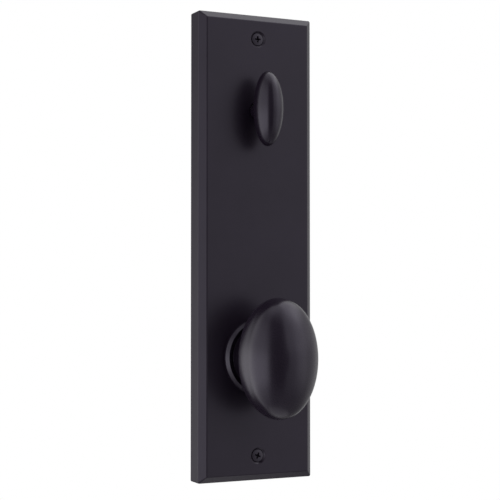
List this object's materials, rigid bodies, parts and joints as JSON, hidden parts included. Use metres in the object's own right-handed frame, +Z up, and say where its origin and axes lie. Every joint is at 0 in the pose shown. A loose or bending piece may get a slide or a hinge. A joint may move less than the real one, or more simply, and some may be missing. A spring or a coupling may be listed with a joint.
{
  "type": "door knob",
  "caption": "Entrance door interior trim: bevelled upright escutcheon with an oval egg knob on a sprung spindle and an oval thumb turn for the deadbolt.",
  "frame": {"origin": "centre of the escutcheon's back face, on the rib that lies on the door", "axes": "+Z up along the plate, +Y into the door along the knob's and the thumb turn's axes, +X to the right seen from the room"},
  "size_m": [0.0714, 0.1072, 0.2666],
  "materials": {
    "satin_black": "satin",
    "black_screw": "satin",
    "zinc_steel": "zinc plated",
    "spring_steel": "oiled",
    "brass": "turned",
    "nylon": "moulded"
  },
  "bodies": {
    "trim": {"escutcheon_plate": "satin_black", "plate_screw_top": "black_screw", "plate_screw_bottom": "black_screw", "knob_collar": "satin_black", "knob_bushing": "nylon", "spring_housing": "zinc_steel", "spring_cover": "zinc_steel", "cassette_screw_1": "zinc_steel", "cassette_screw_2": "zinc_steel", "cassette_screw_3": "zinc_steel", "return_spring": "spring_steel", "turn_bushing": "nylon"},
    "knob": {"egg_knob": "satin_black", "knob_shank": "satin_black", "knob_set_screw": "zinc_steel", "knob_spindle": "zinc_steel", "drive_cam": "zinc_steel", "thrust_washer": "brass", "shank_retaining_ring": "spring_steel"},
    "turn": {"thumb_turn": "satin_black", "turn_shaft": "brass", "turn_blade": "zinc_steel", "turn_blade_pin": "zinc_steel", "turn_wave_washer": "spring_steel", "turn_retaining_clip": "spring_steel"}
  },
  "joints": [
    {"name": "knob_rotation", "type": "hinge", "parent": "trim", "child": "knob", "pos_m": [0, 0, -0.0628], "axis": [0, 1, 0], "range_deg": [-60, 60], "stiffness_Nm_per_rad": 0.45, "deforming": ["return_spring"]},
    {"name": "thumb_turn_rotation", "type": "hinge", "parent": "trim", "child": "turn", "pos_m": [0, 0, 0.0775], "axis": [0, 1, 0], "range_deg": [0, 90]}
  ]
}
